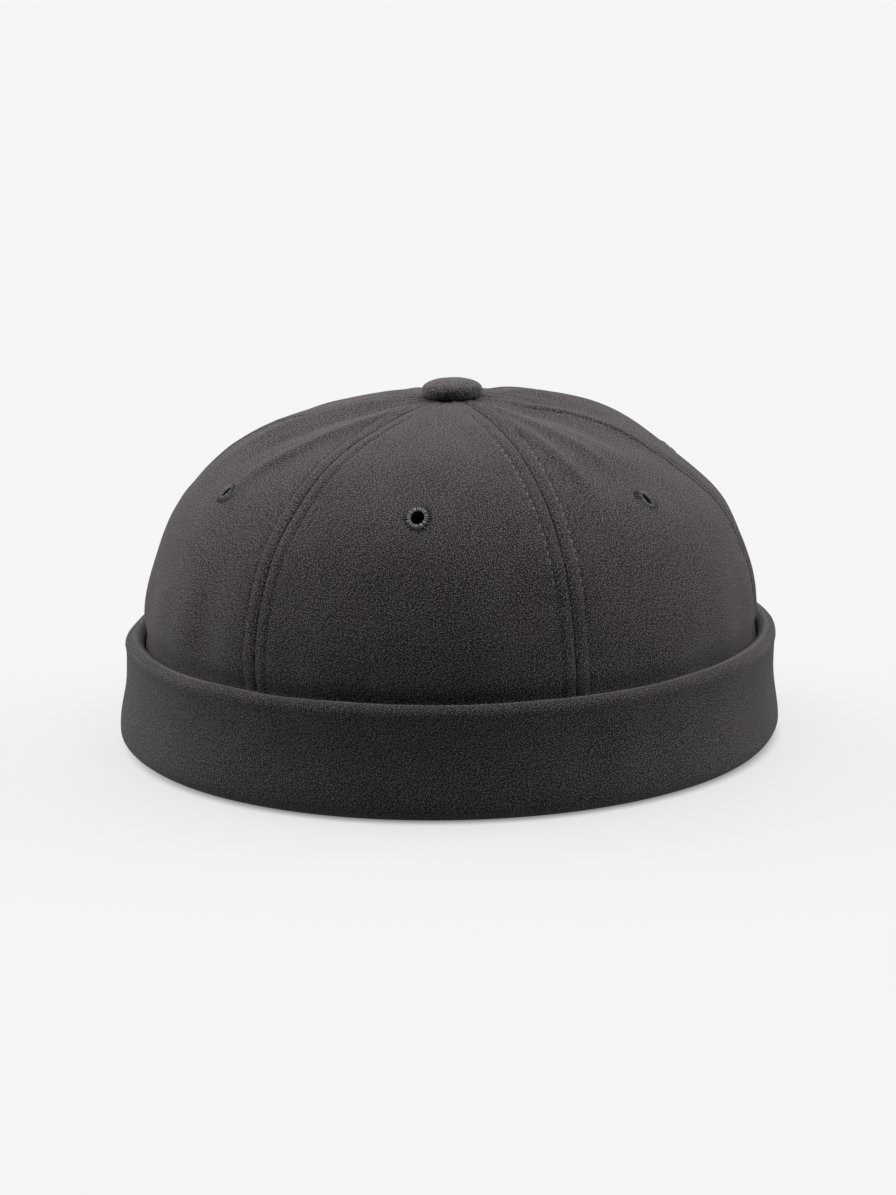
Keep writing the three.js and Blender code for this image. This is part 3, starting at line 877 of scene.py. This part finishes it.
def make_nap_group():
    tree = bpy.data.node_groups.new("Brushed nap", "ShaderNodeTree")
    socket = tree.interface.new_socket
    socket("Place", in_out="INPUT", socket_type="NodeSocketVector")
    socket("Shade", in_out="OUTPUT", socket_type="NodeSocketFloat")
    socket("Height", in_out="OUTPUT", socket_type="NodeSocketFloat")
    inlet = tree.nodes.new("NodeGroupInput")
    outlet = tree.nodes.new("NodeGroupOutput")
    slant = tree.nodes.new("ShaderNodeMapping")
    slant.vector_type = "TEXTURE"
    slant.inputs["Rotation"].default_value = (0, 0, TUFT_SLANT)
    slant.inputs["Scale"].default_value = (TUFT_STRETCH, 1.0, 1.0)
    tree.links.new(inlet.outputs["Place"], slant.inputs["Vector"])
    tufts = add_node(tree, "ShaderNodeTexNoise", Scale=TUFTS, Detail=0.0)
    tree.links.new(slant.outputs["Vector"], tufts.inputs["Vector"])
    fibres = add_node(tree, "ShaderNodeTexNoise", Scale=FIBRES, Detail=0.0)
    tree.links.new(inlet.outputs["Place"], fibres.inputs["Vector"])
    strokes = add_node(
        tree, "ShaderNodeTexNoise", Scale=STROKES, Detail=3.0, Roughness=0.55, Distortion=0.8
    )
    tree.links.new(inlet.outputs["Place"], strokes.inputs["Vector"])
    fine = add_node(tree, "ShaderNodeMix")
    fine.data_type = "FLOAT"
    fine.inputs[0].default_value = FIBRE_SHARE
    tree.links.new(tufts.outputs["Fac"], fine.inputs[2])
    tree.links.new(fibres.outputs["Fac"], fine.inputs[3])
    tree.links.new(fine.outputs[0], outlet.inputs["Height"])
    spread = tree.nodes.new("ShaderNodeMapRange")
    spread.inputs["From Min"].default_value = FLECK_START
    spread.inputs["From Max"].default_value = FLECK_FULL
    tree.links.new(fine.outputs[0], spread.inputs["Value"])
    shade = add_node(tree, "ShaderNodeMix")
    shade.data_type = "FLOAT"
    shade.inputs[0].default_value = STROKE_SHARE
    tree.links.new(spread.outputs["Result"], shade.inputs[2])
    tree.links.new(strokes.outputs["Fac"], shade.inputs[3])
    tree.links.new(shade.outputs[0], outlet.inputs["Shade"])
    return tree


nap_group = make_nap_group()
print("nap group outputs:", [item.name for item in nap_group.interface.items_tree])

# %% [markdown]
# The finishes
#
# The cloth is matte and dark, and its fibres stand up, so it turns lighter where it is seen from
# the side. The sheen lobe of the shader makes that rim of light. The cuff takes the same finish a
# little darker, and the thread is a slightly blue satin. Along the cuff's top fold a highlight is
# painted on the light flecks of the nap.

# %% Materials
NAP_HEIGHT = 0.5 * MM
# Width and colour of the highlight painted on the flecks along the cuff's top fold
CREST_HIGHLIGHT_WIDTH = 1.4 * MM
CREST_HIGHLIGHT_COLOUR = (0.2, 0.18, 0.19)
# Shares of the eyelet's radius at which the thread turns light and at which it turns dark again;
# the light band between them is a painted highlight on the ring's crest
RING_INNER = (0.45, 0.5)
RING_OUTER = (0.66, 0.76)
# Painted shade on the thread at the hole's edge, and the painted shade that a low lightness mixes toward
HOLE_EDGE_PAINTED_SHADE = (0.01, 0.011, 0.014)
SHADED_THREAD = (0.001, 0.001, 0.0012)


def cloth_material(name, dark, light, coordinates, sheen):
    """Brushed cloth between a dark and a light colour, laid by the pattern or by object places."""
    material = bpy.data.materials.new(name)
    material.use_nodes = True
    tree = material.node_tree
    shader = tree.nodes["Principled BSDF"]
    shader.inputs["Roughness"].default_value = 0.95
    shader.inputs["Specular IOR Level"].default_value = 0.2
    shader.inputs["Sheen Weight"].default_value = sheen
    shader.inputs["Sheen Roughness"].default_value = 0.45
    shader.inputs["Sheen Tint"].default_value = (0.75, 0.72, 0.74, 1)
    if coordinates == "pattern":
        source = tree.nodes.new("ShaderNodeUVMap")
        source.uv_map = "pattern"
        place = source.outputs["UV"]
    else:
        place = tree.nodes.new("ShaderNodeTexCoord").outputs["Object"]
    nap = tree.nodes.new("ShaderNodeGroup")
    nap.node_tree = nap_group
    tree.links.new(place, nap.inputs["Place"])
    mix = tree.nodes.new("ShaderNodeMix")
    mix.data_type = "RGBA"
    mix.inputs[6].default_value = (*dark, 1)
    mix.inputs[7].default_value = (*light, 1)
    tree.links.new(nap.outputs["Shade"], mix.inputs[0])
    tree.links.new(mix.outputs[2], shader.inputs["Base Color"])
    bump = tree.nodes.new("ShaderNodeBump")
    bump.inputs["Strength"].default_value = 1.0
    bump.inputs["Distance"].default_value = NAP_HEIGHT
    tree.links.new(nap.outputs["Height"], bump.inputs["Height"])
    tree.links.new(bump.outputs["Normal"], shader.inputs["Normal"])
    return material


def add_painted_crest_highlight(material, middle, width, colour):
    """Paints a highlight on the flecks of the nap along a fold's crest, near one length of the pattern."""
    tree = material.node_tree
    base = tree.nodes["Principled BSDF"].inputs["Base Color"]
    plain = base.links[0].from_socket
    nap = next(node for node in tree.nodes if node.type == "GROUP")
    source = tree.nodes.new("ShaderNodeUVMap")
    source.uv_map = "pattern"
    parts = tree.nodes.new("ShaderNodeSeparateXYZ")
    tree.links.new(source.outputs["UV"], parts.inputs["Vector"])
    rise = tree.nodes.new("ShaderNodeMath")
    rise.operation = "SUBTRACT"
    rise.inputs[1].default_value = middle
    tree.links.new(parts.outputs["Y"], rise.inputs[0])
    away = tree.nodes.new("ShaderNodeMath")
    away.operation = "ABSOLUTE"
    tree.links.new(rise.outputs["Value"], away.inputs[0])
    near = tree.nodes.new("ShaderNodeMapRange")
    near.interpolation_type = "SMOOTHSTEP"
    near.inputs["From Max"].default_value = width
    near.inputs["To Min"].default_value = 1
    near.inputs["To Max"].default_value = 0
    tree.links.new(away.outputs["Value"], near.inputs["Value"])
    share = tree.nodes.new("ShaderNodeMath")
    share.operation = "MULTIPLY"
    tree.links.new(near.outputs["Result"], share.inputs[0])
    tree.links.new(nap.outputs["Shade"], share.inputs[1])
    mix = tree.nodes.new("ShaderNodeMix")
    mix.data_type = "RGBA"
    mix.inputs[7].default_value = (*colour, 1)
    tree.links.new(share.outputs["Value"], mix.inputs[0])
    tree.links.new(plain, mix.inputs[6])
    tree.links.new(mix.outputs[2], base)


def thread_material(name, colour):
    material = bpy.data.materials.new(name)
    material.use_nodes = True
    shader = material.node_tree.nodes["Principled BSDF"]
    shader.inputs["Base Color"].default_value = (*colour, 1)
    shader.inputs["Roughness"].default_value = 0.5
    shader.inputs["Sheen Weight"].default_value = 0.15
    return material


def eyelet_material(name, light, outer):
    """Thread with a painted highlight on the ring's crest, painted shade at the hole's edge and dark past it,
    by the pattern's radius.
    """
    material = thread_material(name, light)
    tree = material.node_tree
    shader = tree.nodes["Principled BSDF"]
    shader.inputs["Specular IOR Level"].default_value = 0.15
    shader.inputs["Sheen Weight"].default_value = 0
    source = tree.nodes.new("ShaderNodeUVMap")
    source.uv_map = "pattern"
    parts = tree.nodes.new("ShaderNodeSeparateXYZ")
    tree.links.new(source.outputs["UV"], parts.inputs["Vector"])
    ramp = tree.nodes.new("ShaderNodeValToRGB")
    spread = tree.nodes.new("ShaderNodeMapRange")
    spread.inputs["From Max"].default_value = EYELET_RADIUS
    tree.links.new(parts.outputs["X"], spread.inputs["Value"])
    tree.links.new(spread.outputs["Result"], ramp.inputs["Fac"])
    stops = ramp.color_ramp.elements
    stops[0].position = RING_INNER[0]
    stops[0].color = (*HOLE_EDGE_PAINTED_SHADE, 1)
    stops[1].position = RING_INNER[1]
    stops[1].color = (*light, 1)
    for place, colour in ((RING_OUTER[0], light), (RING_OUTER[1], outer), (1.0, outer)):
        stops.new(place).color = (*colour, 1)
    # The pattern's lightness mixes the thread toward painted shade
    shaded = tree.nodes.new("ShaderNodeMix")
    shaded.data_type = "RGBA"
    shaded.inputs[6].default_value = (*SHADED_THREAD, 1)
    tree.links.new(parts.outputs["Y"], shaded.inputs[0])
    tree.links.new(ramp.outputs["Color"], shaded.inputs[7])
    tree.links.new(shaded.outputs[2], shader.inputs["Base Color"])
    return material


CROWN_DARK, CROWN_LIGHT = (0.002, 0.0016, 0.0018), (0.132, 0.111, 0.121)
CUFF_DARK, CUFF_LIGHT = (0.005, 0.0042, 0.0047), (0.114, 0.097, 0.107)
BUTTON_DARK, BUTTON_LIGHT = (0.003, 0.0024, 0.0027), (0.13, 0.112, 0.122)
crown_cloth = cloth_material("Crown cloth", CROWN_DARK, CROWN_LIGHT, "pattern", 0.1)
cuff_cloth = cloth_material("Cuff cloth", CUFF_DARK, CUFF_LIGHT, "pattern", 0.1)
button_cloth = cloth_material("Button cloth", BUTTON_DARK, BUTTON_LIGHT, "object", 0.2)
# A highlight is painted on the light flecks along the cuff's top fold
crest_length = strip[np.argmax(outline[:, 1])]
add_painted_crest_highlight(cuff_cloth, crest_length, CREST_HIGHLIGHT_WIDTH, CREST_HIGHLIGHT_COLOUR)
satin_thread = thread_material("Satin thread", (0.19, 0.19, 0.195))
plain_eyelet = eyelet_material("Eyelet thread", (0.26, 0.265, 0.295), (0.004, 0.004, 0.005))
drawn_eyelet = eyelet_material("Eyelet thread in the nap", (0.16, 0.163, 0.176), (0.06, 0.053, 0.057))
for panel in panels:
    panel.data.materials.append(crown_cloth)
cuff.data.materials.append(cuff_cloth)
button.data.materials.append(button_cloth)
eyelets[0].data.materials.append(plain_eyelet)
for piece in eyelets[1:]:
    piece.data.materials.append(drawn_eyelet)
for piece in stitches:
    piece.data.materials.append(satin_thread)
print("materials:", [material.name for material in bpy.data.materials if material.users])

# %% [markdown]
# Floor and light
#
# The cap stands on a seamless white sweep in a studio with large soft lights overhead and at both
# sides, a little behind it, and hardly any from the front, so its front is dark and its rim light.
# The light is painted on the sky as wide soft lobes. Most of the floor's brightness is its own, so
# it stays even and the cap's shadow on it stays faint; round the foot a soft contact shade is painted
# into the floor's light. Inside the cap's foot the floor gives no light, so the air holes look into
# the dark.

# %% Floor and sky
FLOOR_SIZE = 30.0
FLOOR_GREY = 0.12
# Direction, brightness and the cosine at which the lobe begins
LOBES = [
    ((0.0, 0.35, 0.94), 2.65, 0.45),
    ((-0.9, 0.32, 0.3), 4.5, 0.78),
    ((0.9, 0.32, 0.3), 3.4, 0.78),
]
LOBE_EASE = 0.35
BASE_LIGHT = 0.05
# Brightness of the floor's own light as the camera sees it, and as the cap receives it
FLOOR_GLOW = 0.67
FLOOR_BOUNCE = 0.3
# Width of the painted shade round the foot, and the share of light that is left at the foot
CONTACT_WIDTH = 7 * MM
CONTACT_SHADE = 0.3


def make_floor():
    bm = bmesh.new()
    bmesh.ops.create_grid(bm, x_segments=1, y_segments=1, size=FLOOR_SIZE / 2)
    mesh = bpy.data.meshes.new("studio_floor")
    bm.to_mesh(mesh)
    bm.free()
    floor = bpy.data.objects.new("studio_floor", mesh)
    bpy.context.collection.objects.link(floor)
    material = bpy.data.materials.new("White sweep")
    material.use_nodes = True
    shader = material.node_tree.nodes["Principled BSDF"]
    shader.inputs["Base Color"].default_value = (FLOOR_GREY, FLOOR_GREY, FLOOR_GREY, 1)
    shader.inputs["Roughness"].default_value = 1
    shader.inputs["Specular IOR Level"].default_value = 0
    shader.inputs["Emission Color"].default_value = (1, 1, 1, 1)
    nodes = material.node_tree.nodes
    seen = nodes.new("ShaderNodeMapRange")
    seen.inputs["To Min"].default_value = FLOOR_BOUNCE
    seen.inputs["To Max"].default_value = FLOOR_GLOW
    links = material.node_tree.links
    links.new(nodes.new("ShaderNodeLightPath").outputs["Is Camera Ray"], seen.inputs["Value"])
    reach = nodes.new("ShaderNodeVectorMath")
    reach.operation = "LENGTH"
    links.new(nodes.new("ShaderNodeTexCoord").outputs["Object"], reach.inputs[0])
    shade = nodes.new("ShaderNodeMapRange")
    shade.interpolation_type = "SMOOTHSTEP"
    shade.inputs["From Min"].default_value = FOOT_EDGE
    shade.inputs["From Max"].default_value = FOOT_EDGE + CONTACT_WIDTH
    shade.inputs["To Min"].default_value = CONTACT_SHADE
    links.new(reach.outputs["Value"], shade.inputs["Value"])
    outside = nodes.new("ShaderNodeMath")
    outside.operation = "GREATER_THAN"
    outside.inputs[1].default_value = FOOT_EDGE
    links.new(reach.outputs["Value"], outside.inputs[0])
    lit = nodes.new("ShaderNodeMath")
    lit.operation = "MULTIPLY"
    links.new(seen.outputs["Result"], lit.inputs[0])
    links.new(outside.outputs["Value"], lit.inputs[1])
    glow = nodes.new("ShaderNodeMath")
    glow.operation = "MULTIPLY"
    links.new(lit.outputs["Value"], glow.inputs[0])
    links.new(shade.outputs["Result"], glow.inputs[1])
    links.new(glow.outputs["Value"], shader.inputs["Emission Strength"])
    mesh.materials.append(material)
    return floor


def make_sky():
    world = bpy.data.worlds.new("Studio")
    bpy.context.scene.world = world
    world.use_nodes = True
    tree = world.node_tree
    background = tree.nodes["Background"]
    background.inputs["Color"].default_value = (1, 1, 1, 1)
    direction = tree.nodes.new("ShaderNodeTexCoord").outputs["Generated"]
    total = None
    for aim, brightness, start in LOBES:
        dot = tree.nodes.new("ShaderNodeVectorMath")
        dot.operation = "DOT_PRODUCT"
        dot.inputs[1].default_value = Vector(aim).normalized()
        tree.links.new(direction, dot.inputs[0])
        lobe = tree.nodes.new("ShaderNodeMapRange")
        lobe.interpolation_type = "SMOOTHSTEP"
        lobe.inputs["From Min"].default_value = start
        lobe.inputs["From Max"].default_value = min(start + LOBE_EASE, 1)
        lobe.inputs["To Max"].default_value = brightness
        tree.links.new(dot.outputs["Value"], lobe.inputs["Value"])
        together = tree.nodes.new("ShaderNodeMath")
        together.operation = "ADD"
        together.inputs[1].default_value = BASE_LIGHT
        tree.links.new(lobe.outputs["Result"], together.inputs[0])
        if total is not None:
            tree.links.new(total, together.inputs[1])
        total = together.outputs["Value"]
    tree.links.new(total, background.inputs["Strength"])
    return world


floor = make_floor()
make_sky()
bpy.context.scene.view_settings.view_transform = "Standard"
print("floor and sky are in place")

# %% [markdown]
# The camera
#
# The photograph was taken with a long lens from a little above the cuff, slightly to the cap's
# right and with the camera hardly tilted. The distance was found from how much wider the near side
# of the cuff looks than the far side.

# %% Camera
CAMERA_DISTANCE = 1.15
CAMERA_AZIMUTH = math.radians(7.6)
CAMERA_ELEVATION = math.radians(13.3)
CAMERA_ROLL = math.radians(-1.1)
TARGET = Vector((0, 0, 45 * MM))
# Sizes in pixels of the photo
PHOTO_LONG_SIDE = 1195
FOCAL_PIXELS = 3744
SHIFT_PIXELS = (-2, -8.5)

back = Vector((
    math.sin(CAMERA_AZIMUTH) * math.cos(CAMERA_ELEVATION),
    -math.cos(CAMERA_AZIMUTH) * math.cos(CAMERA_ELEVATION),
    math.sin(CAMERA_ELEVATION),
))
camera_data = bpy.data.cameras.new("camera")
camera_data.sensor_width = 36
camera_data.lens = camera_data.sensor_width * FOCAL_PIXELS / PHOTO_LONG_SIDE
camera_data.shift_x = SHIFT_PIXELS[0] / PHOTO_LONG_SIDE
camera_data.shift_y = SHIFT_PIXELS[1] / PHOTO_LONG_SIDE
camera = bpy.data.objects.new("camera", camera_data)
bpy.context.collection.objects.link(camera)
aim = (-back).to_track_quat("-Z", "Y").to_matrix() @ Matrix.Rotation(CAMERA_ROLL, 3, "Z")
camera.matrix_world = Matrix.Translation(TARGET + CAMERA_DISTANCE * back) @ aim.to_4x4()
bpy.context.scene.camera = camera
print("lens in mm:", round(camera_data.lens, 1), "camera at", [round(side, 3) for side in camera.location])
